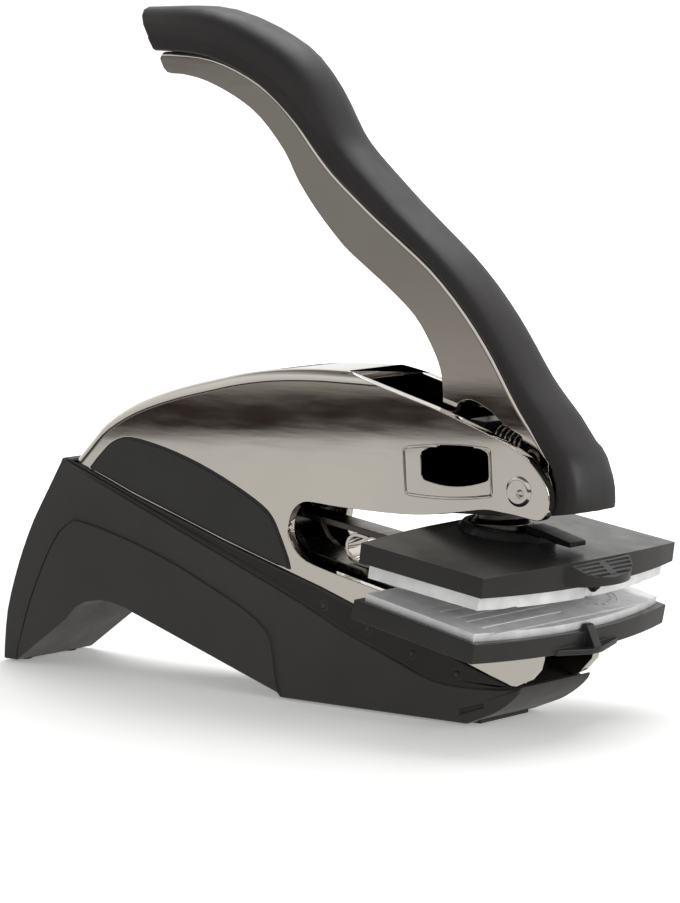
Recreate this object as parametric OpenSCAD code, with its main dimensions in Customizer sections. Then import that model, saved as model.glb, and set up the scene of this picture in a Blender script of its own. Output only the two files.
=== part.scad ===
// Desk seal embosser: a lever presses a short ram onto a hinged upper die,
// above a fixed lower die held on a nickel-plated C-frame over a moulded base.
// +X is the front, +Z is up, the machine is symmetric about Y = 0, and the
// origin lies on the desk under the front foot's front edge.

/* [Frame] */
// Outside width of the folded C-frame
frame_w = 19.6; // [18.8:0.1:21]
// Thickness of the frame's sheet
plate_t = 2; // [1.4:0.1:2.2]
// Pivot's distance in front of the foot's front edge
pivot_x = 10.8; // [10.4:0.1:11.2]
// Pivot's height above the desk
pivot_z = 43.9; // [43.6:0.1:44.4]
// Reach of the frame's blunt front end from the pivot
arm_end_r = 6.5; // [6:0.1:6.7]
// Length of the barrel-shaped side windows
window_l = 15.3; // [12:0.1:16]
// Height of the side windows at their ends
window_h = 5; // [4:0.1:6]
// How far the windows' long edges bow outwards
window_bow = 1.3; // [0.6:0.1:1.6]
// Diameter of the hidden cross stays
stay_d = 6; // [5:0.1:7]

/* [Base] */
// How far the base's sides stand out beyond the frame
base_side = 1.2; // [1.1:0.1:3]
// Depth of the stepped rim below the base's side face
rim_step = 0.6; // [0.3:0.1:0.7]
// How far the flank over the arch stands proud of the side
flank_step = 0.3; // [0.2:0.1:0.5]
// Thickness of the base's floor, rear wall and arch
base_wall = 2.2; // [1.8:0.1:2.6]
// Gap between the desk and the base, on its pads
foot_lift = 0.4; // [0.3:0.1:0.8]
// Thickness of the rubber foot pads
pad_t = 1.4; // [1.1:0.1:1.6]
// Length of the front foot pad
front_pad_l = 30; // [20:1:34]
// Width of the front foot pad
pad_w = 15; // [8:0.5:18]
// Radius of the rear foot's pads
rear_pad_r = 1.4; // [1:0.1:1.5]
// Radius of the pips on the stepped rim
pip_r = 0.7; // [0.4:0.05:1]

/* [Side panels] */
// Thickness of the inlaid side panels
panel_t = 0.7; // [0.4:0.1:1]
// Depth of the panels' pocket in the frame
panel_pocket = 0.5; // [0.2:0.1:0.8]

/* [Handle] */
// Thickness of the washers between the handle and the frame
washer_t = 2; // [1.8:0.1:2.2]
// Thickness of the handle's sheet
handle_t = 1.4; // [1:0.1:1.5]
// Radius of the handle's ears, round the pivot
ear_r = 4.6; // [4.4:0.1:5]
// Width of the cover at the grip end
cover_w = 15; // [13:0.1:17]
// How far the cover stands out beyond the channel at its waist
waist_side = 0.3; // [0.2:0.1:0.8]
// Thickness of the cover at the grip end
grip_t = 8.8; // [6:0.1:10]
// Thickness of the cover at its waist
waist_t = 3.2; // [2.8:0.1:4]
// How far the cover's flange stands out beyond its rounded back
ledge = 0.25; // [0.1:0.05:0.4]

/* [Pivot and cam] */
// Radius of the pivot rivet's shank
rivet_r = 2; // [1.6:0.1:2.2]
// Radius of the pivot rivet's heads
rivet_head_r = 2.9; // [2.6:0.1:3.2]
// Height of the pivot rivet's heads
rivet_head_t = 0.5; // [0.3:0.1:0.7]
// Play between the cam and each ear of the handle
cam_play = 0.3; // [0.2:0.1:0.6]
// Distance from the pivot to the centre of the cam's nose
cam_reach = 7.9; // [7.4:0.1:8.2]
// Radius of the cam's nose
cam_nose_r = 2.6; // [2.2:0.1:2.8]
// Radius of the cam's hub
cam_hub_r = 3.6; // [3.3:0.1:3.8]

/* [Ram] */
// Distance from the pivot to the ram's axis
ram_back = 11; // [10.8:0.1:11.3]
// Radius of the ram's shank
ram_r = 4.8; // [4.2:0.1:5]
// Radius of the ram's domed foot
ram_foot_r = 5.8; // [5.2:0.1:6]
// Height of the dome under the ram's foot
dome_h = 1.9; // [1.2:0.1:2.1]

/* [Jaws] */
// Hinge pin's distance behind the foot's front edge
hinge_back = 49.5; // [49:0.1:50]
// Hinge pin's height
hinge_z = 33.5; // [33.2:0.1:33.8]
// Radius of the jaw hinge pin
hinge_r = 1.5; // [1.2:0.1:1.6]
// Slope of the fixed lower jaw
lower_tilt = 11.6; // [11.4:0.1:11.8]
// Slope of the raised upper jaw
upper_tilt = 8.3; // [8.1:0.1:8.5]
// Width of both die holders
holder_w = 60; // [56:0.5:64]
// Distance from the hinge to the holders' rear edge
holder_u = 39.5; // [39:0.1:40.5]
// Length of the holders at their ends
holder_l = 27.6; // [27:0.1:28.5]
// Bow of the holders' front edge
holder_bow = 3.8; // [3:0.1:4.5]
// Thickness of each holder at its ends
holder_t = 3.7; // [3.4:0.1:3.9]
// Width of the steel jaw straps
strap_w = 6; // [5:0.1:8]
// Thickness of the steel jaw straps
strap_t = 1.2; // [0.9:0.1:1.3]
// Width of the ribbed finger boss on the upper holder
boss_w = 19; // [14:0.5:22]
// Radius of the pin that keeps the upper die in its holder
peg_r = 1.3; // [1:0.1:1.4]

/* [Dies] */
// Rim of the holders round the die plates
die_rim = 1.4; // [1:0.1:2.5]
// Thickness of the upper die plate
upper_die_t = 2.85; // [2.4:0.05:2.9]
// Thickness of the lower die plate
lower_die_t = 2.5; // [2:0.05:2.55]
// Radius of the dies' relief ring
seal_r = 8.5; // [6:0.5:9]
// Height of the dies' relief
relief_h = 0.15; // [0.1:0.05:0.2]

/* [Springs] */
// Wire of the lever's return spring
spring_wire = 0.7; // [0.5:0.05:0.7]
// Outside radius of the return spring
spring_r = 2.65; // [2.3:0.05:2.8]
// Number of curls of the return spring
spring_turns = 8; // [5:1:8]
// Width of the bent leaf that lifts the upper jaw
leaf_w = 6; // [4:0.5:8]
// Thickness of that leaf
leaf_t = 0.7; // [0.5:0.1:0.9]

/* [Fasteners] */
// Radius of the base screws' shanks
screw_r = 1.25; // [1:0.05:1.4]
// Radius of the base screws' heads
screw_head_r = 2.3; // [2:0.05:2.4]
// Radius of the small rivets and the cover screws
small_rivet_r = 1.2; // [1:0.05:1.3]

/* [Hidden] */
$fn = 48;
e = 0.01;
// Clearances: a fitted pin, two parts laid together, and a running gap
fit = 0.05;
seat = 0.1;
gap = 0.25;

nickel = [0.78, 0.76, 0.72];
charcoal = [0.22, 0.22, 0.22];
black = [0.13, 0.13, 0.14];
steel = [0.6, 0.6, 0.62];
silver = [0.88, 0.88, 0.88];

inner = frame_w / 2 - plate_t;
base_w = frame_w + 2 * base_side;
handle_w = 2 * (inner - washer_t - seat);
handle_in = handle_w / 2 - handle_t;
waist_w = handle_w + 2 * waist_side;
cam_w = 2 * (handle_in - cam_play);
P = [pivot_x, pivot_z];
H = [-hinge_back, hinge_z];
ram_x = pivot_x - ram_back;
floor_z = foot_lift + base_wall;

function unit(v) = v / norm(v);
function rot(v, a) = [v[0] * cos(a) - v[1] * sin(a), v[0] * sin(a) + v[1] * cos(a)];
// A point of a jaw: u along it from the hinge, v square to it, at the tilt a
function jaw(u, v, a) = H + rot([u, v], -a);
function rev(p) = [for (i = [len(p) - 1 : -1 : 0]) p[i]];
function lift(p, d) = [for (q = p) q + d];
// Smooth curve through the points p, n steps a span
function mix(a, b, c, d, t) =
    0.5 * (2 * b + (c - a) * t + (2 * a - 5 * b + 4 * c - d) * t * t + (3 * b - a - 3 * c + d) * t * t * t);
function curve(p, n = 3) = [for (i = [0 : len(p) - 2]) for (k = [0 : n - 1])
    mix(p[max(i - 1, 0)], p[i], p[i + 1], p[min(i + 2, len(p) - 1)], k / n), p[len(p) - 1]];
// Left-hand normal at point i of the line p, and the line moved along it
function normal(p, i) =
    let (t = unit(p[min(i + 1, len(p) - 1)] - p[max(i - 1, 0)])) [-t[1], t[0]];
function raise(p, d) = [for (i = [0 : len(p) - 1]) p[i] + d * normal(p, i)];

// An outline in X and Z, from Y = y0 to Y = y1
module slab(y0, y1) {
    translate([0, y1, 0]) rotate([90, 0, 0]) linear_extrude(y1 - y0) children();
}
// The same on both sides of the middle
module both() {
    children();
    mirror([0, 1, 0]) children();
}
// A round bar along Y through the point p
module bar(p, r, y0, y1) {
    translate([p[0], y0, p[1]]) rotate([-90, 0, 0]) cylinder(r = r, h = y1 - y0);
}
// A flat link round two circles
module link(p, r, q, s) {
    d = norm(q - p);
    a = atan2(q[1] - p[1], q[0] - p[0]);
    b = acos((r - s) / d);
    translate(p) circle(r = r);
    translate(q) circle(r = s);
    polygon([for (k = [b, -b]) p + r * [cos(a + k), sin(a + k)],
        for (k = [-b, b]) q + s * [cos(a + k), sin(a + k)]]);
}
// What stands on a jaw: X runs along the jaw and Z square to it
module on_jaw(a) {
    translate([H[0], 0, H[1]]) rotate([0, a, 0]) children();
}
// A tube of radius r swept along the points p, with flat ends
function across(p, i) = unit(p[min(i + 1, len(p) - 1)] - p[max(i - 1, 0)]);
module tube(p, r, ref, n = 6) {
    v = [for (i = [0 : len(p) - 1])
        let (t = across(p, i), a = unit(cross(t, ref[i])), b = cross(t, a))
        for (k = [0 : n - 1]) p[i] + r * (cos(k * 360 / n) * a + sin(k * 360 / n) * b)];
    m = len(p) - 1;
    polyhedron(v, concat([[for (k = [0 : n - 1]) k]], [[for (k = [n - 1 : -1 : 0]) m * n + k]],
        [for (i = [0 : m - 1]) for (k = [0 : n - 1]) let (l = (k + 1) % n)
            [i * n + k, (i + 1) * n + k, (i + 1) * n + l]],
        [for (i = [0 : m - 1]) for (k = [0 : n - 1]) let (l = (k + 1) % n)
            [i * n + k, (i + 1) * n + l, i * n + l]]));
}

// ---- Base ----
rear_line = curve([[-115.8, foot_lift], [-115.6, 4.1], [-114.8, 10.3], [-112.8, 16.9], [-110.5, 22.8],
    [-107.4, 29.2], [-103.3, 35.8], [-99.5, 42]], 2);
rim_line = curve([[-99.5, 42], [-98.4, 41.1], [-91.1, 38.3], [-79.1, 33.7], [-63.8, 28],
    [-53.8, 24.3], [-39, 19], [-29.4, 14.9], [-19.9, 11.6], [-10.6, 8.3], [-4.8, 7.2],
    [3, 7.2], [10.4, 7.9]], 2);
band_line = curve([[-99.3, 42.1], [-93.7, 40.4], [-82.2, 36.2], [-69.4, 32.3], [-59.3, 29.1],
    [-49.3, 26.2], [-42.5, 24.3], [-35.2, 22.3], [-27.5, 19.8], [-15.5, 16], [-3.6, 12.2],
    [4, 9.8], [10.2, 8]], 2);
nose_line = curve([[12.4, 8.5], [11.9, 7.3], [9.9, 5.4], [7.6, 3.8], [5.4, 2.6], [1.9, 1.2],
    [0, foot_lift]], 2);
arch_line = [[-43.7, foot_lift], [-44.6, 1.3], [-83.1, 13.7], [-87.1, 14.5], [-89.7, 14.6],
    [-93.6, 13.9], [-96.3, 12.6], [-98.8, 10], [-112.2, foot_lift]];
contour_line = curve([[-96.4, 30.1], [-90.6, 29.3], [-80.2, 26.8], [-69.9, 23.6], [-60.3, 19.8],
    [-52.3, 16.4], [-47.6, 13.3], [-45.9, 10.5], [-45.2, 6.3], [-44.6, 3]], 2);
contour_rear = curve([[-96.4, 30.1], [-100.2, 27.4], [-103.5, 22.6], [-106.2, 17.4],
    [-108.5, 12.3], [-110.7, 6.2], [-111.8, 2.6]], 2);
stays = [[-25, 11.4], [-80, 27.4]];
front_pad_x = 0.8;
rear_pad = [-114, 6.5];

module base_outline() {
    polygon(concat(rear_line, rim_line, nose_line, arch_line));
}
module band_outline() {
    polygon(concat(band_line, rev(lift(rim_line, [0, -1.5]))));
}
// Where the frame goes in: open above, closed below by floor, arch and walls
module base_cavity() {
    back = [for (q = raise(rear_line, -base_wall)) if (q[1] > 8 && q[1] < 34) q];
    roof = [for (i = [2 : 7]) raise(arch_line, -base_wall)[i]];
    polygon(concat(back, lift([frame_top[0], frame_top[1], frame_top[1] + [0, 20]], [-seat, 0]),
        [[8.1, 60], [8.1, 4.6 + base_wall], [3.6, 1.9 + base_wall],
        [-1.5, floor_z], [-42, floor_z]], roof, [[-108.6, 6.4 + base_wall / 2]]));
}
// The flank over the arch, which stands proud of the side
module flank_outline() {
    polygon(concat(contour_line, arch_line, [for (q = rev(contour_rear)) if (q[1] < 30) q]));
}
module base_shell() color(charcoal) difference() {
    union() {
        slab(-base_w / 2, base_w / 2) base_outline();
        slab(-base_w / 2 - flank_step, base_w / 2 + flank_step) flank_outline();
        slab(rim_step - base_w / 2, base_w / 2 - rim_step) band_outline();
        both() for (q = [[-33.7, 19], [-23.2, 15.6], [-12.9, 12], [-2.5, 9.2]])
            bar(q, pip_r, base_w / 2 - rim_step - e, base_w / 2 - rim_step + 0.35);
    }
    difference() {
        slab(-frame_w / 2 - fit, frame_w / 2 + fit) base_cavity();
        for (q = stays) translate([q[0], 0, 0]) cylinder(r = screw_head_r + 1.6, h = q[1] - stay_d / 2 - seat);
    }
    both() slab(base_w / 2 - 0.6, base_w / 2 + 1)
        polygon([[-1.5, 2], [3.9, 3.9], [3.9, 4.6], [-1.5, 3]]);
    translate([front_pad_x - front_pad_l - fit, -pad_w / 2 - fit, -e])
        cube([front_pad_l + 2 * fit, pad_w + 2 * fit, pad_t + e]);
    both() translate([rear_pad[0], rear_pad[1], -e]) cylinder(r = rear_pad_r + fit, h = pad_t + e);
    for (q = stays) translate([q[0], 0, -e]) {
        cylinder(r = screw_r + fit, h = q[1]);
        cylinder(r = screw_head_r + 0.2, h = screw_seat(q) + e);
    }
}
// Height of the screw heads' seats: above the front pad, and up the arch's boss
function screw_seat(q) = q == stays[0] ? pad_t + 1.7 : q[1] - stay_d / 2 - 5.5;

module front_foot_pad() color(black)
    translate([front_pad_x - front_pad_l, -pad_w / 2, 0]) cube([front_pad_l, pad_w, pad_t - e]);
module rear_foot_pads() color(black)
    both() translate([rear_pad[0], rear_pad[1], 0]) cylinder(r = rear_pad_r, h = pad_t - e);
module base_screws() color(steel) for (q = stays) translate([q[0], 0, screw_seat(q) - 1.4]) {
    difference() {
        cylinder(r = screw_head_r, h = 1.4 - e);
        for (a = [0, 90]) rotate(a) translate([-1.4, -0.25, -e]) cube([2.8, 0.5, 0.7]);
    }
    cylinder(r = screw_r, h = q[1] + 1 - screw_seat(q) + 1.4);
}

// ---- Frame ----
frame_top = concat([[-100.4, 35.2]], curve([[-97.9, 41.7], [-93.9, 45.7], [-89.5, 49.8],
    [-82, 53.9], [-73, 57], [-64.1, 59.3], [-55, 61.3], [-46.8, 62.5], [-38, 63.1],
    [-29.4, 63.2]], 3));
arm_top = curve([[-29.4, 63.2], [-20.5, 60.9], [-9, 57.9], [2.5, 54.3], [9.3, 51.7]], 3);
// The arm's blunt front end with its low corner, as shares of its reach
arm_end = curve([for (q = [[0.28, 0.94], [0.55, 0.68], [0.75, 0.46], [0.92, 0.23], [1.01, 0],
    [1.03, -0.25], [0.98, -0.49], [0.86, -0.68], [0.65, -0.78], [0.25, -0.74], [-0.18, -0.68]])
    P + arm_end_r * q], 2);
throat_line = curve([[4.4, 39.9], [1.7, 39.7], [-6.5, 38.4], [-15.7, 37.6], [-29.9, 37.7],
    [-37, 38.1], [-39.7, 37.8], [-41.8, 36.2], [-42.8, 33.8], [-42.8, 31.4], [-41.5, 29],
    [-38.6, 26.9], [-33, 25.4]], 3);
// How far the lower holder's deck lies below the line through the hinge
holder_gap = 0.9;
arm_low_v = holder_t + holder_gap + seat;
frame_foot = [[-38, floor_z + seat], [-46, 10], [-75, 20], [-90, 25.5]];
panel_top = curve([[-93.3, 40.5], [-90.2, 43.6], [-87, 46.1], [-82.4, 47.2], [-73.6, 45.8],
    [-64.7, 43.3], [-56.2, 40], [-49.3, 36.6], [-46.6, 34.3], [-44.9, 31.3], [-42.9, 27.1],
    [-42.3, 25]], 3);
window_c = [-3.7, 47.5];
border_c = [-5.3, 46.3];

module panel_outline(d = 0) {
    polygon(concat(raise(panel_top, d),
        rev([for (q = lift(band_line, [0, 0.4 - d])) if (q[0] > -92 && q[0] < -43) q])));
}
// A barrel shape with rounded corners: l long, h high at its ends, its long edges bowed by b
module barrel(c, l, h, b) {
    r = 0.7;
    x = [for (i = [-4 : 4]) i / 4 * (1 - 2 * r / l)];
    half = concat([[-l / 2, h / 2 - r], [0.3 * r - l / 2, h / 2 - 0.15 * r]],
        [for (t = x) [t * l / 2, h / 2 + b * (1 - t * t)]],
        [[l / 2 - 0.3 * r, h / 2 - 0.15 * r], [l / 2, h / 2 - r]]);
    translate(c) rotate(3.2) polygon(concat(half, [for (q = half) -q]));
}
module frame_outline() {
    polygon(concat(frame_top, arm_top, arm_end, throat_line,
        [jaw(28, -arm_low_v, lower_tilt), jaw(67.3, -arm_low_v, lower_tilt),
        [15.5, 13.6], [14.9, 11.6], [12.6, 9.2], [10.6, 8.2], [7.9, 8.1],
        [7.9, 5 + base_wall], [3.4, 2.2 + base_wall], [-2, floor_z + seat]], frame_foot));
}
module frame_channel() color(nickel) difference() {
    slab(-frame_w / 2, frame_w / 2) frame_outline();
    slab(-inner, inner) polygon(concat([[-97, 20]], raise(frame_top, -plate_t),
        [[-29.4, 70], [30, 70], [30, 0], [-80, 0]]));
    bar(P, rivet_r + fit, -frame_w, frame_w);
    bar(H, hinge_r + fit, -frame_w, frame_w);
    for (q = stays) bar(q, stay_d / 3 + fit, -frame_w, frame_w);
    slab(-frame_w, frame_w) barrel(window_c, window_l, window_h, window_bow);
    both() slab(frame_w / 2 - 0.1, frame_w) difference() {
        barrel(border_c, 20, 8.8, 0.6);
        barrel(border_c, 19.4, 8.2, 0.6);
    }
    both() slab(frame_w / 2 - panel_pocket, frame_w) panel_outline();
}
module side_panel() {
    slab(frame_w / 2 - panel_pocket, frame_w / 2 - panel_pocket + panel_t * 0.6) panel_outline(-fit);
    slab(frame_w / 2 - panel_pocket, frame_w / 2 - panel_pocket + panel_t) panel_outline(-0.5);
}
module side_panel_left() color(black) side_panel();
module side_panel_right() color(black) mirror([0, 1, 0]) side_panel();
module frame_stays() color(steel) for (q = stays) difference() {
    union() {
        bar(q, stay_d / 2, -inner + seat, inner - seat);
        bar(q, stay_d / 3, -frame_w / 2, frame_w / 2);
    }
    translate([q[0], 0, 0]) cylinder(r = screw_r + fit, h = q[1] + 1.2);
}

// ---- Pivot, cam, ram and their guide ----
block_top = pivot_z + 1.5;
block_low = 38.2;
nose = P + cam_reach * [-cos(6.5), sin(6.5)];
ram_top = nose[1] - cam_nose_r - 0.2;
spring_rear = [-1.5, 52.4];
spring_front = [8.6, 49.4];
spring_dir = unit(spring_front - spring_rear);
cam_pin = [pivot_x + 0.1, pivot_z + 5.7];

module guide_block() color(black) difference() {
    union() {
        slab(-inner + fit, inner - fit) polygon([[-12.5, block_low + 1.6], [-11.5, block_low],
            [5.2, block_low + 0.6], [5.2, block_top], [-12.5, block_top]]);
        both() slab(handle_w / 2 + 0.4, inner - fit)
            polygon([[-12.5, 42], [5.2, 42], [5.2, 51.3], [-12.5, 51.3]]);
        both() slab(inner - 1, frame_w / 2 - seat)
            barrel(window_c, window_l - 2 * fit, window_h - 2 * fit, window_bow);
        slab(-3.8, 3.8) polygon([[-6.5, block_top - 1], [-6.5, block_top + 2],
            [-4.6, 55.6], spring_rear + [-0.25, 0] + 2.9 * [-spring_dir[1], spring_dir[0]],
            spring_rear + [-0.25, 0] - 3 * [-spring_dir[1], spring_dir[0]], [-2.6, block_top - 1]]);
    }
    translate([ram_x, 0, 30]) cylinder(r = ram_r + fit, h = block_top - 30 + e);
    translate([ram_x, -handle_in, 39.2]) cube([8, 2 * handle_in, 10]);
}
module ram() color(steel) difference() {
    union() {
        translate([ram_x, 0, 36.4]) cylinder(r = ram_r, h = block_top - 0.4 - 36.4);
        translate([ram_x, 0, 33.35]) rotate_extrude() polygon(concat([[0, 4]],
            [for (i = [0 : 8]) [ram_foot_r * sin(i * 11.25), dome_h * (1 - cos(i * 11.25))]],
            [[ram_foot_r, 3.2], [ram_foot_r - 0.8, 4]]));
    }
    slab(-ram_r - 1, ram_r + 1) polygon([[nose[0] - cam_nose_r - gap, ram_top + 10],
        [nose[0] - cam_nose_r - gap, ram_top], [nose[0] + 0.25, ram_top],
        [nose[0] + 0.25 + 8 * cos(18), ram_top - 8 * sin(18)], [nose[0] + 8, ram_top + 10]]);
}
module pivot_rivet() color(steel) {
    bar(P, rivet_r, -frame_w / 2, frame_w / 2);
    both() translate([P[0], frame_w / 2, P[1]]) rotate([-90, 0, 0]) difference() {
        cylinder(r1 = rivet_head_r, r2 = rivet_head_r - 0.6, h = rivet_head_t);
        translate([0.6, 0.4, 0.25]) cylinder(r = 0.7, h = 1);
    }
}
module pivot_washers() color(steel) both() difference() {
    bar(P, rivet_r + 1.6, handle_w / 2 + fit, inner - fit);
    bar(P, rivet_r + fit, 0, frame_w);
}
module press_cam() color(steel) difference() {
    union() {
        slab(-cam_w / 2, cam_w / 2) link(P, cam_hub_r, nose, cam_nose_r);
        slab(-cam_w / 2, cam_w / 2) polygon([spring_front - 3 * [-spring_dir[1], spring_dir[0]] + [0.2, 0],
            spring_front + 2.8 * [-spring_dir[1], spring_dir[0]] + [0.2, 0],
            cam_pin + [-0.6, 2.3], cam_pin + [1.2, -0.2], P + [2.3, 1.6], P - [0.5, 0.3]]);
    }
    bar(P, rivet_r + fit, -20, 20);
    bar(cam_pin, small_rivet_r + fit, -20, 20);
    translate([spring_rear[0], 0, spring_rear[1]]) rotate([0, atan2(spring_dir[0], spring_dir[1]), 0])
        cylinder(r = spring_r + gap, h = norm(spring_front - spring_rear) + 0.15);
}
module cam_rivet() color(steel) {
    bar(cam_pin, small_rivet_r, -handle_w / 2, handle_w / 2);
    both() translate([cam_pin[0], handle_w / 2, cam_pin[1]]) rotate([-90, 0, 0])
        cylinder(r1 = small_rivet_r + 0.5, r2 = small_rivet_r, h = 0.4);
}
// The return spring's path: a straight lead, even curls, a straight lead
function coil(a, b, r, turns, lead) =
    let (d = unit(b - a), s = unit(cross(d, [0, 1, 0])), l = norm(b - a), n = turns * 8)
    concat([a + r * s], [for (i = [0 : n]) let (t = i / n)
        a + d * (lead + t * (l - 2 * lead)) + r * (cos(i * 45) * s + sin(i * 45) * cross(d, s))],
        [b + r * s]);
function coil_ref(a, b, n) = [for (i = [0 : n - 1]) unit(b - a)];
function near(p, w) = min([for (i = [0 : len(p) - 1]) for (j = [i + 5 : 1 : min(i + 12, len(p) - 1)])
    norm(p[i] - p[j])]) - w;
sa = [spring_rear[0] + seat * spring_dir[0], 0, spring_rear[1] + seat * spring_dir[1]];
sb = [spring_front[0] - seat * spring_dir[0], 0, spring_front[1] - seat * spring_dir[1]];
spring_path = coil(sa, sb, spring_r - spring_wire / 2, spring_turns, spring_wire);
echo(return_spring_least_gap = near(spring_path, spring_wire));
module return_spring() color(steel) tube(spring_path, spring_wire / 2,
    [for (i = [0 : len(spring_path) - 1]) i == 0 || i == len(spring_path) - 1
        ? [0, 1, 0] : unit(sb - sa)]);

// ---- Handle ----
spine = curve([[-79, 121.9], [-71, 121.7], [-64.8, 120.9], [-58.8, 119], [-52.9, 116.2],
    [-48, 112.8], [-43.5, 108.6], [-39.5, 104], [-35.4, 99.9], [-30, 95.6], [-24.2, 91.3],
    [-18.2, 87.2], [-12.3, 82.9], [-6.8, 77.8], [-1.9, 72.3], [2, 67.1], [5.1, 62.3],
    [7.8, 58.4], [10.8, 54.7]], 2);
spine_low = [for (a = [62 : -12 : -46]) P + (6.1 + max(0, (a - 26) / 36)) * [cos(a), sin(a)]];
cover_line = concat(spine, spine_low);
web_line = raise([for (q = spine) if (q[0] > -78) q], -seat);
grip_under = curve([[-78.1, 120.4], [-76.3, 117.8], [-72, 117.4], [-66.2, 116.2], [-59, 113.3],
    [-52.9, 109.5], [-47.1, 103.4], [-43.7, 97.9], [-39.3, 92.5], [-33.9, 87.1], [-30.5, 84.4],
    [-22.8, 79.2], [-16.2, 74], [-12.3, 68.7], [-10.2, 64.5], [-9.6, 60.5], [-9.5, 57.4],
    [-8.6, 56.8]], 3);
grip_notch = curve([[-6.6, 56.8], [-5.9, 58.4], [-4.5, 59.1], [-3, 59.2], [-1.1, 58.6], [1.2, 57.5],
    [3.4, 55.9], [6.2, 54.3], [8.4, 53.2], [8.2, 51.5], [7.2, 48.2]], 3);

module handle_plate() {
    polygon(concat(grip_under, grip_notch, [P - [ear_r - 0.4, 0], P,
        P + (ear_r - 0.4) * [cos(30), sin(30)], P + 6.9 * [cos(58), sin(58)]], rev(web_line),
        [[-77.4, 121.75]]));
    translate(P) circle(r = ear_r);
}
module handle_channel() color(nickel) difference() {
    union() {
        both() slab(handle_in, handle_w / 2) handle_plate();
        slab(-handle_w / 2, handle_w / 2)
            polygon(concat(web_line, rev(raise(web_line, -handle_t))));
    }
    bar(P, rivet_r + fit, -20, 20);
    bar(cam_pin, small_rivet_r + fit, -20, 20);
    for (i = screw_at) on_web(i) cylinder(r = small_rivet_r + fit, h = 12, center = true);
}
screw_at = [6, 26];
// A local frame on the handle's web at point i, with Z out through the cover
module on_web(i) {
    n = normal(cover_line, i);
    translate([cover_line[i][0], 0, cover_line[i][1]]) rotate([0, atan2(n[0], n[1]), 0]) children();
}
// Half width and thickness of the cover at point i, eased between set stations
function ease(t, a, b) = a + (b - a) * (3 * t * t - 2 * t * t * t);
function eased(i, s) = let (k = max([for (j = [0 : len(s) - 2]) if (s[j][0] <= i) j]))
    ease(min(1, (i - s[k][0]) / (s[k + 1][0] - s[k][0])), s[k][1], s[k + 1][1]);
cover_n = len(cover_line);
function half_w(i) = eased(i, [[0, cover_w / 2 - 1.2], [2, cover_w / 2], [9, cover_w / 2 - 0.1],
    [15, waist_w / 2 + 0.5], [24, waist_w / 2], [31, waist_w / 2], [cover_n - 8, waist_w / 2 + 1.1],
    [cover_n - 1, waist_w / 2 + 1.6]]);
function thick(i) = eased(i, [[0, grip_t - 0.4], [3, grip_t], [8, grip_t - 0.3], [15, waist_t + 1.7],
    [25, waist_t], [30, waist_t - 0.2], [36, waist_t + 0.8], [40, waist_t + 1.4],
    [cover_n - 1, waist_t + 1.4]]);
function cover_ring(i, lean = 0) =
    let (w = half_w(i), t = thick(i), f = min(2.4, 0.55 * t), n = normal(cover_line, i),
        d = [n[1], -n[0]], q = cover_line[i])
    [for (s = concat([[w - 0.4, 0], [w, 0.4], [w, f], [w - ledge, f + 0.2]],
        [for (a = [20 : 20 : 160]) [(w - ledge) * sign(cos(a)) * pow(abs(cos(a)), 0.8),
            f + (t - f) * pow(sin(a), 0.8)]],
        [[ledge - w, f + 0.2], [-w, f], [-w, 0.4], [0.4 - w, 0]]))
        let (c = q + n * s[1] - d * lean * s[1]) [c[0], s[0], c[1]]];
module handle_cover() color(black) difference() {
    cover_body();
    for (i = screw_at) on_web(i) translate([0, 0, -0.5])
        cylinder(r = small_rivet_r + fit, h = 2.7);
}
module cover_body() {
    // The grip end leans back, and the lower end is cut up towards the front
    rings = [for (i = [0 : cover_n - 1])
        cover_ring(i, max(0.66 * (6 - i) / 6, 1.1 * (i - cover_n + 6) / 5, 0))];
    m = len(rings[0]);
    v = [for (r = rings) for (q = r) q];
    polyhedron(v, concat([[for (k = [m - 1 : -1 : 0]) k]], [[for (k = [0 : m - 1]) (cover_n - 1) * m + k]],
        [for (i = [0 : cover_n - 2]) for (k = [0 : m - 1]) let (l = (k + 1) % m)
            [i * m + k, i * m + l, (i + 1) * m + l]],
        [for (i = [0 : cover_n - 2]) for (k = [0 : m - 1]) let (l = (k + 1) % m)
            [i * m + k, (i + 1) * m + l, (i + 1) * m + k]]));
}
module cover_screws() color(steel) for (i = screw_at) on_web(i) {
    translate([0, 0, -handle_t - seat - 1.25]) cylinder(r = small_rivet_r + 0.9, h = 1.2 - fit);
    translate([0, 0, -handle_t - seat - 0.5]) cylinder(r = small_rivet_r, h = handle_t + seat + 2.5);
}

// ---- Jaws ----
upper_v = 3.65;
upper_seat = 3.8;
lower_seat = -2;
dish_v = 6.75;
front_u = holder_u + holder_l;
peg_u = front_u + 3.1;
// Plan of a holder, drawn in by d all round
module holder_plan(d = 0) {
    w = holder_w / 2 - d;
    polygon(concat([[holder_u + d, w], [holder_u + d, -w]],
        [for (i = [-6 : 6]) [front_u - d + holder_bow * (1 - i * i / 36), w * i / 6]]));
}
module strap_profile(p) {
    slab(-strap_w / 2, strap_w / 2) polygon(concat(raise(p, strap_t), rev(p)));
}
module upper_strap() color(steel) on_jaw(upper_tilt) difference() {
    union() {
        strap_profile([[1, 1.1], [25, 1.1], [27, 1.3], [35, upper_v - 0.7],
            [37.4, upper_v], [front_u - 5, upper_v]]);
        bar([0, 0], hinge_r + 1.2, -strap_w / 2, strap_w / 2);
    }
    bar([0, 0], hinge_r + fit, -20, 20);
    for (u = [holder_u + 4, front_u - 8]) translate([u, 0, 0])
        cylinder(r = small_rivet_r + fit, h = 20);
}
module upper_strap_rivets() color(steel) on_jaw(upper_tilt)
    for (u = [holder_u + 4, front_u - 8]) translate([u, 0, upper_v + e])
        cylinder(r = small_rivet_r, h = strap_t + 0.75);
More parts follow.
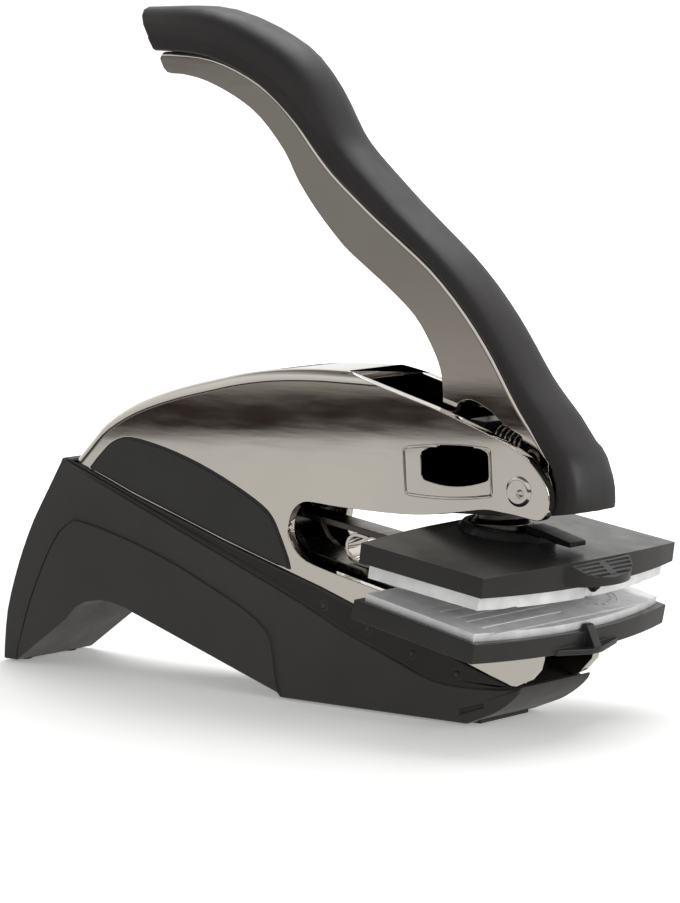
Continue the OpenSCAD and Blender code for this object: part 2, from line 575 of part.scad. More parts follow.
module upper_deck() {
    intersection() {
        translate([0, 0, upper_v]) linear_extrude(8) holder_plan();
        rotate([90, 0, 90]) linear_extrude(90) polygon(concat([[holder_w / 2, 0], [-holder_w / 2, 0]],
            [for (i = [-6 : 6]) [i * holder_w / 12, upper_v + holder_t + 1.2 * (1 - i * i / 36)]]));
    }
}
hub_u = 49;
// Top of the finger boss at u in front of the holder's edge, and its rounded plan
boss_u = front_u + holder_bow;
function boss_v(u) = upper_v + holder_t + 0.9 - u * tan(27);
module boss_plan() {
    polygon(concat([[front_u + 1.2, boss_w / 2], [front_u + 1.2, -boss_w / 2]],
        [for (i = [-6 : 6]) let (t = i / 6) [boss_u - 0.4 + 4.6 * pow(1 - t * t, 0.6), t * boss_w / 2]]));
}
module upper_holder() color(charcoal) on_jaw(upper_tilt) difference() {
    union() {
        upper_deck();
        translate([hub_u, 0, upper_v + 2]) cylinder(r1 = ram_foot_r + 4.8, r2 = ram_foot_r + 1.8, h = 4.2);
        translate([hub_u + 6, -3, upper_v + 1]) cube([4, 6, 5.2]);
        intersection() {
            slab(-holder_w, holder_w) polygon([[front_u + 1, boss_v(0.2)], [boss_u + 0.2, boss_v(0.2)],
                [boss_u + 5, boss_v(5)], [boss_u + 5, boss_v(5) - 1], [boss_u, upper_v + 0.6],
                [front_u + 1, upper_v + 0.6]]);
            translate([0, 0, upper_v]) linear_extrude(8) boss_plan();
        }
        translate([peg_u, 0, upper_v - 0.3]) cylinder(r1 = peg_r + 0.2, r2 = peg_r + 0.7, h = 3);
    }
    translate([hub_u, 0, dish_v]) rotate([0, -6, 0]) cylinder(r = ram_foot_r + 0.6, h = 10);
    translate([holder_u - 5, -strap_w / 2 - fit, upper_v - 2])
        cube([holder_l + 1, strap_w + 2 * fit, 2 + strap_t + seat]);
    translate([0, 0, upper_v - 5]) linear_extrude(5 + upper_seat - upper_v) holder_plan(die_rim - fit);
    for (u = [holder_u + 4, front_u - 8]) translate([u, 0, 0])
        cylinder(r = small_rivet_r + fit, h = upper_v + strap_t + 0.85);
    for (u = [0.5 : 0.85 : 3.1]) both() slab(1, boss_w / 2 - 0.9 - 0.8 * u)
        polygon([[boss_u + u, 9], [boss_u + u, boss_v(u) - 0.3],
            [boss_u + u + 0.4, boss_v(u + 0.4) - 0.3], [boss_u + u + 0.4, 9]]);
    translate([peg_u, 0, 0]) cylinder(r = peg_r + fit, h = upper_v + 2);
}
module keeper_leaf() color(steel) on_jaw(upper_tilt) strap_leaf();
module strap_leaf() {
    v = upper_v + 6.2 + seat / 2;
    slab(-2.5, 2.5) polygon([[hub_u + 6.6, v], [hub_u + 6.6, v + 1.4], [hub_u + 10, v + 1.3],
        [front_u - 1.4, v + 0.5], [front_u - 1.3, v - 0.4], [hub_u + 13.5, v - 0.4],
        [hub_u + 10.4, v]]);
}
module die_catch_pin() color(steel) on_jaw(upper_tilt)
    translate([peg_u, 0, upper_v - 0.6]) {
        cylinder(r = peg_r, h = 2.4);
        translate([0, 0, -0.9]) cylinder(r1 = 0.5, r2 = peg_r, h = 0.9);
    }
// The dies carry a ring of beads round a plain star, and plain bars and rules beside it,
// raised or sunk by the same height
seal_c = [57.5, 13.5];
module seal_relief(h) {
    linear_extrude(h) {
        translate(seal_c) {
            difference() {
                circle(r = seal_r);
                circle(r = seal_r - 0.7);
            }
            for (k = [0 : 23]) rotate(k * 15) translate([seal_r - 1.7, 0]) circle(r = 0.45, $fn = 16);
            polygon([for (k = [0 : 9]) (k % 2 == 0 ? seal_r - 3.6 : (seal_r - 3.6) * 0.45)
                * [cos(k * 36), sin(k * 36)]]);
        }
        for (k = [0 : 4]) translate([seal_c[0] - 6.6 + 3 * k, -24])
            square([k % 2 == 0 ? 1.2 : 0.6, 24]);
        translate([67.2, -26]) square([0.5, 50]);
    }
}
module upper_die() color(silver) on_jaw(upper_tilt) difference() {
    translate([0, 0, upper_seat - upper_die_t]) linear_extrude(upper_die_t - fit) holder_plan(die_rim);
    translate([0, 0, upper_seat - upper_die_t - e]) seal_relief(relief_h + 0.1);
    translate([holder_u - 5, -strap_w / 2 - 0.2, upper_v - seat])
        cube([holder_l + 3, strap_w + 0.4, 2]);
    translate([peg_u, 0, upper_seat - 5]) cylinder(r = peg_r + seat, h = 10);
}
module lower_holder() color(charcoal) on_jaw(lower_tilt) difference() {
    union() {
        translate([0, 0, -holder_gap - holder_t]) linear_extrude(holder_t) holder_plan();
        translate([0, 0, -holder_gap - holder_t]) linear_extrude(1.1) polygon([[front_u + 2.5, -9.7],
            [front_u + 4, -9.4], [front_u + 6.2, -1.6], [front_u + 6.2, 1.6], [front_u + 4, 9.4],
            [front_u + 2.5, 9.7]]);
        slab(-1.1, 1.1) polygon([[boss_u - 1.2, -holder_gap - holder_t], [boss_u - 1.2, 0.2],
            [boss_u - 0.1, 0.2], [boss_u + 2.4, -holder_gap - holder_t + 1.4],
            [boss_u + 2.4, -holder_gap - holder_t]]);
    }
    translate([0, 0, lower_seat]) linear_extrude(9) holder_plan(die_rim - fit);
    for (u = [holder_u + 4, front_u - 5]) translate([u, 0, -20])
        cylinder(r = small_rivet_r + fit, h = 20 + lower_seat - 0.6);
}
module lower_die() color(silver) on_jaw(lower_tilt) {
    translate([0, 0, lower_seat + fit]) linear_extrude(lower_die_t - fit) holder_plan(die_rim);
    translate([0, 0, lower_seat + lower_die_t - e]) seal_relief(relief_h + e);
}
strap_v = -holder_gap - holder_t - seat;
low_line = [[4.2, -4.1], [6, -4.6], [9, -5], [21.5, -5], [23.5, strap_v - strap_t],
    [front_u - 2, strap_v - strap_t]];
module lower_strap() color(steel) on_jaw(lower_tilt) difference() {
    union() {
        slab(-strap_w / 2 - 1.75, strap_w / 2 + 1.75) polygon(concat(low_line, rev(raise(low_line, strap_t))));
        both() slab(strap_w / 2 + 0.3, strap_w / 2 + 1.75)
            polygon([[-2.2, -1.5], [3.2, -3.4], [4.6, -4], [9, -4.9], [9, -3.9], [6, -2.6], [2.2, 1.5]]);
        both() bar([0, 0], hinge_r + 1.2, strap_w / 2 + 0.3, strap_w / 2 + 1.75);
    }
    bar([0, 0], hinge_r + fit, -20, 20);
    for (u = [holder_u + 4, front_u - 5]) translate([u, 0, -20])
        cylinder(r = small_rivet_r + fit, h = 20);
}
module lower_strap_rivets() color(steel) on_jaw(lower_tilt)
    for (u = [holder_u + 4, front_u - 5]) translate([u, 0, strap_v - strap_t - 0.8]) {
        cylinder(r = small_rivet_r + 0.9, h = 0.8 - e);
        cylinder(r = small_rivet_r, h = lower_seat - 0.7 - (strap_v - strap_t - 0.8));
    }
module jaw_hinge_pin() color(steel)
    bar(H, hinge_r, seat - (frame_w / 2 - panel_pocket), frame_w / 2 - panel_pocket - seat);
// A leaf bent to a C between the straps, open to the front
leaf_path = curve([jaw(21.5, -3.7, lower_tilt), jaw(18, -3.7, lower_tilt), H + [15.6, -6.2],
    H + [14.9, -4.3], H + [15.5, -2.5], jaw(17.4, 1, upper_tilt), jaw(20.5, 1, upper_tilt)], 4);
module jaw_spring() color(steel) slab(-leaf_w / 2, leaf_w / 2)
    polygon(concat(leaf_path, rev(raise(leaf_path, -leaf_t))));

base_shell();
front_foot_pad();
rear_foot_pads();
frame_channel();
side_panel_left();
side_panel_right();
guide_block();
frame_stays();
base_screws();
pivot_rivet();
pivot_washers();
handle_channel();
handle_cover();
cover_screws();
press_cam();
cam_rivet();
ram();
return_spring();
upper_strap();
upper_holder();
upper_strap_rivets();
keeper_leaf();
die_catch_pin();
upper_die();
lower_strap();
lower_holder();
lower_strap_rivets();
lower_die();
jaw_hinge_pin();
jaw_spring();
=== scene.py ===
import math

import bmesh
import bpy
from mathutils import Matrix, Vector


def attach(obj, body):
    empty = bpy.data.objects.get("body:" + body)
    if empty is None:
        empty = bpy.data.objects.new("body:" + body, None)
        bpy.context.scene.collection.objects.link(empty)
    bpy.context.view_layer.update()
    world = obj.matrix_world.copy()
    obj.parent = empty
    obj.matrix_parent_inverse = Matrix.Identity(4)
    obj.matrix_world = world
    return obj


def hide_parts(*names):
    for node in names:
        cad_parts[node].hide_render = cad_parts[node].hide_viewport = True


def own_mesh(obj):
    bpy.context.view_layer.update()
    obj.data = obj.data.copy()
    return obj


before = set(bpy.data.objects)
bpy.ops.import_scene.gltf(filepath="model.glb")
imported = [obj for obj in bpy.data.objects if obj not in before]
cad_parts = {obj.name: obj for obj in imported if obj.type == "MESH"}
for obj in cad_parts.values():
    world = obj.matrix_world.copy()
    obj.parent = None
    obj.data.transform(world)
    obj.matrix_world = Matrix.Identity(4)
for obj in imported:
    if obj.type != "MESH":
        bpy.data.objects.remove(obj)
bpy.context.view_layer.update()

# ---- Base shell ----
# The long arched foot of the machine, moulded in one piece of charcoal plastic with a fine
# spark-eroded skin. The frame drops into it and two screws hold it from below.
def welded(node):
    """A copy of a CAD solid with its doubled corners merged."""
    bm = bmesh.new()
    bm.from_mesh(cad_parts[node].data)
    bmesh.ops.remove_doubles(bm, verts=bm.verts, dist=3e-6)
    return bm


def dressed(node, body, soft, segments=2, chosen=None, wide=None):
    """A copy of a CAD solid, its triangles joined into flat faces and its sharp edges softened.

    The edges that chosen picks are first rounded by wide, as a fold in sheet metal is.
    """
    sharp_from, shortest = math.radians(30), 1e-5
    bm = welded(node)
    bmesh.ops.dissolve_limit(bm, angle_limit=math.radians(1.0), verts=bm.verts, edges=bm.edges)
    if chosen:
        bend = [e for e in bm.edges if len(e.link_faces) == 2 and chosen(e)]
        bmesh.ops.bevel(bm, geom=bend, offset=wide, offset_type="OFFSET", segments=7,
                        profile=0.5, affect="EDGES", clamp_overlap=False, material=-1)
    sharp = [e for e in bm.edges if len(e.link_faces) == 2
             and e.calc_face_angle(0) > sharp_from and e.calc_length() > shortest]
    bmesh.ops.bevel(bm, geom=sharp, offset=soft, offset_type="OFFSET", segments=segments,
                    profile=0.5, affect="EDGES", clamp_overlap=False, material=-1)
    return finished(bm, node + "_skin", body, node)


def finished(bm, name, body, *nodes):
    """Makes the mesh a piece in the nodes' place that rides on its body, smooth round its edges."""
    mesh = bpy.data.meshes.new(name)
    bm.to_mesh(mesh)
    bm.free()
    piece = bpy.data.objects.new(name, mesh)
    bpy.context.scene.collection.objects.link(piece)
    mesh.shade_smooth()
    mesh.set_sharp_from_angle(angle=math.radians(38))
    level = piece.modifiers.new("even", "WEIGHTED_NORMAL")
    level.keep_sharp = True
    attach(piece, body)
    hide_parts(*nodes)
    return piece


def material(name, colour, metal, rough):
    """A Principled material and its node tree."""
    mat = bpy.data.materials.new(name)
    mat.use_nodes = True
    tree = mat.node_tree
    skin = tree.nodes["Principled BSDF"]
    skin.inputs["Base Color"].default_value = (*colour, 1)
    skin.inputs["Metallic"].default_value = metal
    skin.inputs["Roughness"].default_value = rough
    return mat, tree, skin


def noise(tree, scale, detail, stretch=(1, 1, 1)):
    """Noise on the piece's own metres, drawn out along its axes by stretch."""
    place = tree.nodes.new("ShaderNodeTexCoord")
    turn = tree.nodes.new("ShaderNodeMapping")
    turn.inputs["Scale"].default_value = stretch
    grain = tree.nodes.new("ShaderNodeTexNoise")
    grain.inputs["Scale"].default_value = scale
    grain.inputs["Detail"].default_value = detail
    tree.links.new(place.outputs["Object"], turn.inputs["Vector"])
    tree.links.new(turn.outputs["Vector"], grain.inputs["Vector"])
    return grain.outputs["Fac"]


def spread(tree, value, low, high, into, lo=0.3, hi=0.7):
    """Maps a pattern's value, from lo to hi, onto low to high and feeds it to a socket."""
    ramp = tree.nodes.new("ShaderNodeMapRange")
    ramp.inputs["From Min"].default_value = lo
    ramp.inputs["From Max"].default_value = hi
    ramp.inputs["To Min"].default_value = low
    ramp.inputs["To Max"].default_value = high
    tree.links.new(value, ramp.inputs["Value"])
    tree.links.new(ramp.outputs["Result"], into)


def tint(tree, value, dark, light, into):
    """Mixes two colours by a pattern's value."""
    mix = tree.nodes.new("ShaderNodeMix")
    mix.data_type = "RGBA"
    mix.inputs["A"].default_value = (*dark, 1)
    mix.inputs["B"].default_value = (*light, 1)
    spread(tree, value, 0, 1, mix.inputs["Factor"])
    tree.links.new(mix.outputs["Result"], into)


def bump(tree, value, skin, depth, strength, under=None):
    """Raises the surface by a pattern, depth metres deep, over another bump if one is given."""
    lift = tree.nodes.new("ShaderNodeBump")
    lift.inputs["Strength"].default_value = strength
    lift.inputs["Distance"].default_value = depth
    tree.links.new(value, lift.inputs["Height"])
    if under:
        tree.links.new(under, lift.inputs["Normal"])
    tree.links.new(lift.outputs["Normal"], skin.inputs["Normal"])
    return lift.outputs["Normal"]


def moulded(name, dark, light, rough_low, rough_high, grain, depth):
    """Moulded plastic: an even colour, a fine eroded grain and a little wear in the sheen."""
    mat, tree, skin = material(name, light, 0.0, rough_low)
    tint(tree, noise(tree, 45, 4), dark, light, skin.inputs["Base Color"])
    spread(tree, noise(tree, 160, 3), rough_low, rough_high, skin.inputs["Roughness"])
    soft = bump(tree, noise(tree, grain / 6, 2), skin, depth * 1.5, 0.5)
    bump(tree, noise(tree, grain, 3), skin, depth, 0.6, soft)
    skin.inputs["Specular IOR Level"].default_value = 0.36
    return mat


charcoal = moulded("charcoal_plastic", (0.030, 0.029, 0.027), (0.038, 0.036, 0.034),
                   rough_low=0.44, rough_high=0.54, grain=2600, depth=2.5e-5)
# Glossier plastic, coloured darker than the charcoal: painted shade for the recessed rim
glossy_rim_painted_shade = moulded("glossy_rim_painted_shade", (0.010, 0.009, 0.009), (0.016, 0.014, 0.013),
                    rough_low=0.30, rough_high=0.40, grain=2200, depth=1.5e-5)
base = dressed("base_shell", "base", 0.00035, segments=3)
base.data.materials.append(charcoal)
base.data.materials.append(glossy_rim_painted_shade)
# The stepped rim, the innermost of the upright faces outside the frame, is darker: a glossier
# plastic whose darker colour is painted shade of the recess between frame plate and base rim
frame_side, same_plane = 0.0102, 5e-5
upright = [f for f in base.data.polygons
           if abs(f.normal.y) > 0.99 and abs(f.center.y) > frame_side]
rim_y = min(abs(f.center.y) for f in upright)
for face in upright:
    if abs(face.center.y) - rim_y < same_plane:
        face.material_index = 1

# ---- Foot pads ----
# Rubber pads let into the underside of both feet. They carry the machine and keep it
# from sliding on the desk.
rubber, tree, skin = material("pad_rubber", (0.03, 0.03, 0.03), 0.0, 0.85)
tint(tree, noise(tree, 300, 3), (0.022, 0.022, 0.022), (0.038, 0.038, 0.038),
     skin.inputs["Base Color"])
bump(tree, noise(tree, 3000, 2), skin, 4e-5, 0.7)
for node in ("front_foot_pad", "rear_foot_pads"):
    pad = dressed(node, "base", 0.00025)
    pad.data.materials.append(rubber)

# ---- Frame channel ----
# The C-frame, folded from one 2 mm steel sheet over the back and the top, polished and
# nickel plated. Its folds are round; its cut edges are only broken.
def polished(name, colour, rough_low, rough_high, wave):
    """Plated sheet: a near mirror with slow waves and faint polishing marks."""
    mat, tree, skin = material(name, colour, 1.0, rough_low)
    dark = tuple(c * 0.93 for c in colour)
    tint(tree, noise(tree, 30, 3), dark, colour, skin.inputs["Base Color"])
    spread(tree, noise(tree, 70, 4, (1, 6, 6)), rough_low, rough_high, skin.inputs["Roughness"])
    slow = bump(tree, noise(tree, 55, 1, (0.5, 1, 1.5)), skin, wave, 0.5)
    bump(tree, noise(tree, 900, 2, (0.12, 1, 1)), skin, 2e-6, 0.5, slow)
    return mat


def frame_fold(edge):
    """The outer edges of the folded back and top, told by their place in millimetres."""
    mid = (edge.verts[0].co + edge.verts[1].co) / 2 * 1000
    half_width, close = 9.8, 0.02
    rear_end, back_face, slot_start, base_rim = -101, -94, -29.4, 35.3
    beside = any(abs(f.normal.y) > 0.95 for f in edge.link_faces)
    outside = any(abs(f.normal.y) < 0.3 for f in edge.link_faces)
    over_panel_and_window = min(44 + 0.5 * (mid.x - back_face), 55)
    above = mid.x < back_face or mid.z > over_panel_and_window
    return (abs(abs(mid.y) - half_width) < close and beside and outside and above
            and rear_end < mid.x < slot_start and mid.z > base_rim)


nickel = polished("nickel_plate", (0.74, 0.71, 0.66), rough_low=0.035, rough_high=0.075, wave=6e-6)
body = dressed("frame_channel", "base", 0.00018, chosen=frame_fold, wide=0.0024)
body.data.materials.append(nickel)

# ---- Side panels ----
# Thin satin-black panels, bonded into a shallow pocket on each side of the frame, behind the
# throat and above the base.
satin = moulded("satin_black", (0.022, 0.021, 0.021), (0.030, 0.029, 0.029),
                rough_low=0.34, rough_high=0.46, grain=2200, depth=2.2e-5)
for node in ("side_panel_left", "side_panel_right"):
    panel = dressed(node, "base", 0.00012)
    panel.data.materials.append(satin)

# ---- Guide block ----
# A moulded block between the frame's plates. It guides the ram, seats the return spring
# and shows in both side windows.
glossy = moulded("holder_plastic", (0.016, 0.015, 0.015), (0.023, 0.022, 0.022),
                 rough_low=0.26, rough_high=0.36, grain=1500, depth=1.2e-5)
block = dressed("guide_block", "base", 0.0002)
block.data.materials.append(glossy)

# ---- Plain steel parts of the base ----
# Turned and stamped from bright steel: the cross stays, the screws under the base, the
# washers beside the handle's ears and the hinge pin of the jaw.
def bright_steel(name, colour, rough_low, rough_high, stretch):
    """Machined steel with fine marks drawn out along the cut."""
    mat, tree, skin = material(name, colour, 1.0, rough_low)
    marks = noise(tree, 1400, 3, stretch)
    tint(tree, marks, tuple(c * 0.8 for c in colour), colour, skin.inputs["Base Color"])
    spread(tree, marks, rough_low, rough_high, skin.inputs["Roughness"])
    bump(tree, marks, skin, 4e-6, 0.5)
    return mat


steel = bright_steel("bright_steel", (0.52, 0.52, 0.53), rough_low=0.22, rough_high=0.38,
                     stretch=(1, 0.05, 1))
for node in ("frame_stays", "base_screws", "pivot_washers", "jaw_hinge_pin"):
    part = dressed(node, "base", 0.00012)
    part.data.materials.append(steel)

# ---- Pivot rivet ----
# The handle's axle: a nickel-plated rivet through frame, washers and ears, with low
# domed heads and the off-centre dimple that the riveting tool leaves.
rivet = dressed("pivot_rivet", "base", 0.0002, segments=3)
rivet.data.materials.append(nickel)

# ---- Handle channel ----
# The lever's core, folded from nickel-plated sheet. Its two legs straddle the frame's
# slot and end in ears round the pivot.
def handle_fold(edge):
    """The outer edges of the fold along the lever's top, told by their place in millimetres."""
    mid = (edge.verts[0].co + edge.verts[1].co) / 2 * 1000
    half_width, close, ear_top = 5.7, 0.02, 52
    up_and_forward = (0.6, 0, 0.8)
    beside = any(abs(f.normal.y) > 0.95 for f in edge.link_faces)
    upward = any(abs(f.normal.y) < 0.3 and f.normal.dot(up_and_forward) > 0.55
                 for f in edge.link_faces)
    return abs(abs(mid.y) - half_width) < close and beside and upward and mid.z > ear_top


lever = dressed("handle_channel", "handle", 0.00015, chosen=handle_fold, wide=0.0009)
lever.data.materials.append(nickel)

# ---- Handle cover ----
# A soft satin-black grip moulded to sit over the lever's back, thick at the grip, thin at
# the waist, with a flat flange along both sides. Two screws hold it from inside.
def cover_mesh():
    """The cover's own solid with its triangles joined to quads, ready to be smoothed."""
    bm = welded("handle_cover")
    bmesh.ops.join_triangles(bm, faces=bm.faces, angle_face_threshold=math.radians(30),
                             angle_shape_threshold=math.radians(180))
    return bm


grip = finished(cover_mesh(), "handle_cover_grip", "handle", "handle_cover")
cover_black = moulded("cover_black", (0.015, 0.014, 0.014), (0.021, 0.019, 0.019),
                      rough_low=0.42, rough_high=0.52, grain=2400, depth=2.0e-5)
grip.data.materials.append(cover_black)

# ---- Cam, its rivet and the cover screws ----
# The cam is a hardened plate held between the ears; its nose pushes the ram. Blackened
# steel, oiled, with the marks of grinding.
dark_steel = bright_steel("blackened_steel", (0.13, 0.115, 0.105), rough_low=0.2,
                          rough_high=0.34, stretch=(1, 0.05, 1))
for node in ("press_cam", "cam_rivet", "cover_screws"):
    part = dressed(node, "handle", 0.00012)
    part.data.materials.append(dark_steel)

# ---- Ram ----
# A turned steel plunger in the guide block. Its domed foot presses in the dish of the
# upper holder.
ram = dressed("ram", "ram", 0.0002)
ram.data.materials.append(dark_steel)

# ---- Return spring ----
# A coil of dark spring wire, lying in the open between guide block and cam, that lifts the
# lever again.
def wound(name, start, end, radius, wire, turns, lead, body, node):
    """A coil of round wire, spun along the line from start to end, with straight leads."""
    steps_a_turn = 28
    start, end = Vector(start), Vector(end)
    length = (end - start).length
    bm = bmesh.new()
    ring = bmesh.ops.create_circle(bm, radius=wire / 2, segments=14, cap_ends=False)["verts"]
    bmesh.ops.rotate(bm, verts=ring, cent=(0, 0, 0), matrix=Matrix.Rotation(math.pi / 2, 3, "X"))
    bmesh.ops.translate(bm, verts=ring, vec=(radius, 0, lead))
    steps = turns * steps_a_turn
    run = bmesh.ops.spin(bm, geom=list(bm.edges), cent=(0, 0, 0), axis=(0, 0, 1),
                         dvec=(0, 0, (length - 2 * lead) / steps),
                         angle=turns * 2 * math.pi, steps=steps, use_merge=False)["geom_last"]
    last = [v for v in run if isinstance(v, bmesh.types.BMVert)]
    for loop, height in ((ring, 0.0), (last, length)):
        edges = list({e for v in loop for e in v.link_edges if all(w in loop for w in e.verts)})
        tip = bmesh.ops.extrude_edge_only(bm, edges=edges)["geom"]
        tip = [v for v in tip if isinstance(v, bmesh.types.BMVert)]
        level = sum(v.co.z for v in tip) / len(tip)
        bmesh.ops.translate(bm, verts=tip, vec=(0, 0, height - level))
        bmesh.ops.scale(bm, verts=tip, vec=(1, 1, 0), space=Matrix.Translation((0, 0, -height)))
        flat = [e for e in bm.edges if all(v in tip for v in e.verts)]
        bmesh.ops.edgenet_fill(bm, edges=flat)
    bmesh.ops.recalc_face_normals(bm, faces=bm.faces)
    aim = (end - start).to_track_quat("Z", "Y").to_matrix().to_4x4()
    bm.transform(Matrix.Translation(start) @ aim)
    return finished(bm, name, body, node)


wire_steel = bright_steel("spring_wire", (0.26, 0.24, 0.22), rough_low=0.16, rough_high=0.28,
                          stretch=(1, 1, 1))
coil = wound("return_spring_coil", start=(-0.0014, 0, 0.05237), end=(0.0085, 0, 0.04943),
             radius=0.0023, wire=0.0007, turns=8, lead=0.0007, body="base",
             node="return_spring")
coil.data.materials.append(wire_steel)
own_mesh(coil)

# ---- Jaw spring ----
# A strip of bright spring steel bent to a C in the throat. It stands on the lower strap
# and lifts the upper one, and the pressed jaw squeezes it flatter.
leaf = dressed("jaw_spring", "base", 0.00012)
leaf.data.materials.append(nickel)
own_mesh(leaf)

# ---- Upper jaw ----
# The swinging jaw: a strap of blackened spring steel from the hinge carries the wide black
# holder, its keeper leaf and the pin that keeps the upper die in.
black_steel = bright_steel("black_steel", (0.030, 0.028, 0.028), rough_low=0.28, rough_high=0.4,
                           stretch=(1, 0.05, 1))
for node, coat in (("upper_strap", dark_steel), ("upper_strap_rivets", dark_steel),
                   ("keeper_leaf", black_steel), ("die_catch_pin", black_steel)):
    part = dressed(node, "upper_jaw", 0.00012)
    part.data.materials.append(coat)
holder = dressed("upper_holder", "upper_jaw", 0.00008)
holder.data.materials.append(glossy)

# ---- Lower jaw ----
# The fixed jaw: a blackened steel strap on the hinge pin, riveted under the lower holder, which
# lies on the lower arm of the frame.
for node in ("lower_strap", "lower_strap_rivets"):
    part = dressed(node, "base", 0.00012)
    part.data.materials.append(dark_steel)
tray = dressed("lower_holder", "base", 0.0002)
tray.data.materials.append(glossy)

# ---- Dies ----
# A pair of pale cast dies, one raised and one sunk, with a ring of beads round a plain
# star and a set of bars as their pattern.
die_metal, tree, skin = material("die_metal", (0.80, 0.80, 0.80), 0.35, 0.42)
tint(tree, noise(tree, 260, 4), (0.66, 0.66, 0.67), (0.84, 0.84, 0.84),
     skin.inputs["Base Color"])
spread(tree, noise(tree, 900, 2), 0.34, 0.5, skin.inputs["Roughness"])
bump(tree, noise(tree, 2600, 2), skin, 8e-6, 0.5)
for node, rides in (("upper_die", "upper_jaw"), ("lower_die", "base")):
    die = dressed(node, rides, 0.00008)
    die.data.materials.append(die_metal)

# ---- Table ----
# A white table that fades into the white background by a painted glow. What the polished steel
# mirrors of it
# is a painted reflection set by distance: white near the machine, a dark band behind it, then dim
# grey.
def graded(tree, value, levels):
    """A colour that follows a value from 0 to 1 through the given levels."""
    ramp = tree.nodes.new("ShaderNodeValToRGB")
    stops = ramp.color_ramp.elements
    stops[0].position, stops[0].color = 0.0, (*levels[0][1], 1)
    stops[1].position, stops[1].color = 1.0, (*levels[-1][1], 1)
    for height, colour in levels[1:-1]:
        stops.new(height).color = (*colour, 1)
    tree.links.new(value, ramp.inputs["Fac"])
    return ramp.outputs["Color"]


bm = bmesh.new()
bmesh.ops.create_grid(bm, x_segments=1, y_segments=1, size=6)
ground = bpy.data.meshes.new("table_top")
bm.to_mesh(ground)
bm.free()
table = bpy.data.objects.new("table_top", ground)
bpy.context.scene.collection.objects.link(table)
white, tree, skin = material("table_white", (0.84, 0.84, 0.83), 0.0, 0.6)
skin.inputs["Specular IOR Level"].default_value = 0.1
place = tree.nodes.new("ShaderNodeTexCoord")
away = tree.nodes.new("ShaderNodeVectorMath")
away.operation = "DISTANCE"
under_machine = (-0.045, 0, 0)
away.inputs[1].default_value = under_machine
tree.links.new(place.outputs["Object"], away.inputs[0])
# The table glows, faintly near the machine and fully further out: painted light that whitens the
# table away from the machine, so it reads darker close round it
painted_glow = tree.nodes.new("ShaderNodeEmission")
spread(tree, away.outputs["Value"], low=0.26, high=1.1, into=painted_glow.inputs["Strength"],
       lo=0.16, hi=0.55)
lit = tree.nodes.new("ShaderNodeAddShader")
tree.links.new(skin.outputs[0], lit.inputs[0])
tree.links.new(painted_glow.outputs[0], lit.inputs[1])
reach = 1.2
share = tree.nodes.new("ShaderNodeMapRange")
share.inputs["From Max"].default_value = reach
tree.links.new(away.outputs["Value"], share.inputs["Value"])
# Painted reflection: the colours that glossy rays see on the table, graded by distance
mirrored_white, mirrored_dark_band, mirrored_dim_grey = (0.62, 0.61, 0.58), (0.026, 0.018, 0.017), (0.36, 0.34, 0.32)
mirrored = tree.nodes.new("ShaderNodeEmission")
tree.links.new(graded(tree, share.outputs["Result"], [
    (0, mirrored_white), (0.438 / reach, mirrored_white), (0.468 / reach, mirrored_dark_band),
    (0.575 / reach, (0.024, 0.017, 0.016)), (0.615 / reach, mirrored_dim_grey),
    (0.850 / reach, (0.27, 0.255, 0.24)), (1, (0.24, 0.23, 0.22))]), mirrored.inputs["Color"])
path = tree.nodes.new("ShaderNodeLightPath")
either = tree.nodes.new("ShaderNodeMixShader")
tree.links.new(path.outputs["Is Glossy Ray"], either.inputs["Fac"])
tree.links.new(lit.outputs[0], either.inputs[1])
tree.links.new(mirrored.outputs[0], either.inputs[2])
tree.links.new(either.outputs[0], tree.nodes["Material Output"].inputs["Surface"])
ground.materials.append(white)

# ---- Studio ----
# White all round for the camera and for plain light. The polished steel sees a dark line
# at the horizon, a bright wall above it and a dim ceiling; behind the machine it is white.
world = bpy.data.worlds.new("studio")
bpy.context.scene.world = world
world.use_nodes = True
tree = world.node_tree
plain = tree.nodes["Background"]
plain.inputs["Color"].default_value = (1, 1, 1, 1)
plain.inputs["Strength"].default_value = 0.5
seen = tree.nodes.new("ShaderNodeBackground")
seen.inputs["Color"].default_value = (1, 1, 1, 1)
seen.inputs["Strength"].default_value = 1.1
where = tree.nodes.new("ShaderNodeTexCoord")
ray = tree.nodes.new("ShaderNodeSeparateXYZ")
tree.links.new(where.outputs["Generated"], ray.inputs["Vector"])
dark_line, dim_ceiling = (0.03, 0.024, 0.022), (0.10, 0.095, 0.09)
front_sky = tree.nodes.new("ShaderNodeBackground")
tree.links.new(graded(tree, ray.outputs["Z"], [
    (0, dark_line), (0.10, dark_line), (0.17, (0.62, 0.60, 0.58)), (0.62, (0.80, 0.79, 0.77)),
    (0.80, (0.16, 0.15, 0.145)), (1, dim_ceiling)]), front_sky.inputs["Color"])
rear_sky = tree.nodes.new("ShaderNodeBackground")
tree.links.new(graded(tree, ray.outputs["Z"], [
    (0, (1.0, 1.0, 1.0)), (0.45, (0.95, 0.94, 0.92)), (0.65, (0.20, 0.19, 0.18)),
    (0.85, dim_ceiling), (1, dim_ceiling)]), rear_sky.inputs["Color"])
room = tree.nodes.new("ShaderNodeMixShader")
spread(tree, ray.outputs["Y"], low=0, high=1, into=room.inputs["Fac"], lo=-0.05, hi=0.25)
tree.links.new(front_sky.outputs[0], room.inputs[1])
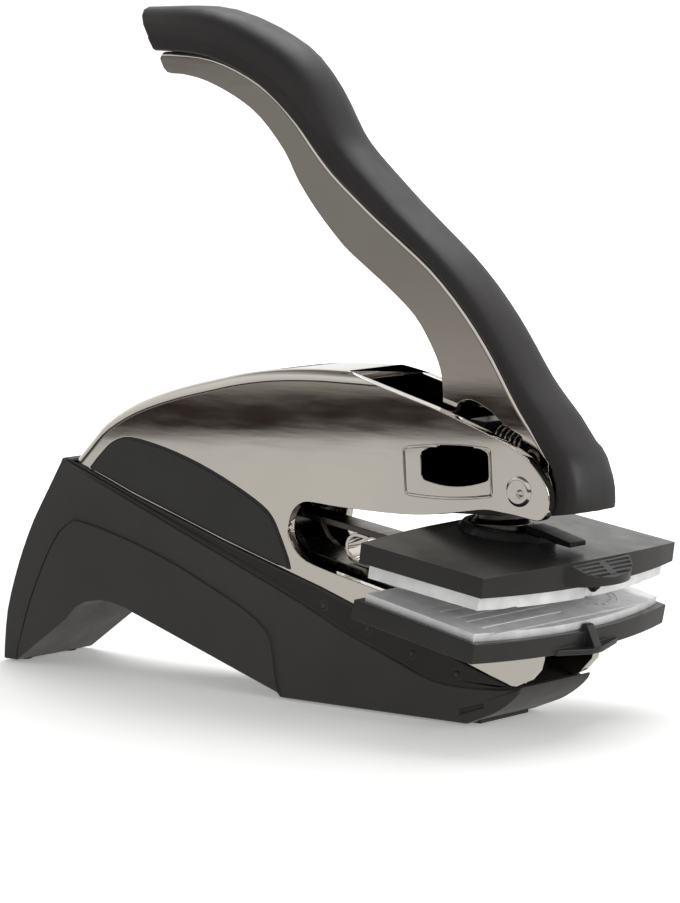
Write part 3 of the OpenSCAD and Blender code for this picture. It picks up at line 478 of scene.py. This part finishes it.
tree.links.new(rear_sky.outputs[0], room.inputs[2])
path = tree.nodes.new("ShaderNodeLightPath")
gloss = tree.nodes.new("ShaderNodeMixShader")
tree.links.new(path.outputs["Is Glossy Ray"], gloss.inputs["Fac"])
tree.links.new(plain.outputs[0], gloss.inputs[1])
tree.links.new(room.outputs[0], gloss.inputs[2])
first = tree.nodes.new("ShaderNodeMixShader")
tree.links.new(path.outputs["Is Camera Ray"], first.inputs["Fac"])
tree.links.new(gloss.outputs[0], first.inputs[1])
tree.links.new(seen.outputs[0], first.inputs[2])
tree.links.new(first.outputs[0], tree.nodes["World Output"].inputs["Surface"])

# ---- Lamps and camera ----
# A large soft lamp above and behind and a weaker one at the right. The camera stands where
# the photographer stood.
def lamp(name, place, aim, size, power):
    """A square soft lamp aimed at a point."""
    light = bpy.data.lights.new(name, "AREA")
    light.shape = "SQUARE"
    light.size = size
    light.energy = power
    thing = bpy.data.objects.new(name, light)
    bpy.context.scene.collection.objects.link(thing)
    thing.location = place
    thing.rotation_euler = (Vector(aim) - Vector(place)).to_track_quat("-Z", "Y").to_euler()


lamp("top_lamp", place=(-0.25, 0.55, 1.1), aim=(-0.03, 0, 0.03), size=0.9, power=11)
lamp("right_lamp", place=(1.1, 0.35, 0.5), aim=(-0.03, 0, 0.06), size=0.6, power=5)

turn, tilt, far = math.radians(38.70), math.radians(6.61), 0.757
photo_height, focal_pixels = 903, 4000
aimed_at = Vector((-0.03822, 0, 0.04673))
back = Vector((math.sin(turn) * math.cos(tilt), -math.cos(turn) * math.cos(tilt), math.sin(tilt)))
camera = bpy.data.cameras.new("camera")
camera.sensor_width = 36
camera.lens = camera.sensor_width * focal_pixels / photo_height
camera.clip_start, camera.clip_end = 0.05, 30
view = bpy.data.objects.new("camera", camera)
bpy.context.scene.collection.objects.link(view)
view.location = aimed_at + back * far
view.rotation_euler = back.to_track_quat("Z", "Y").to_euler()
bpy.context.scene.camera = view
bpy.context.scene.view_settings.view_transform = "Standard"
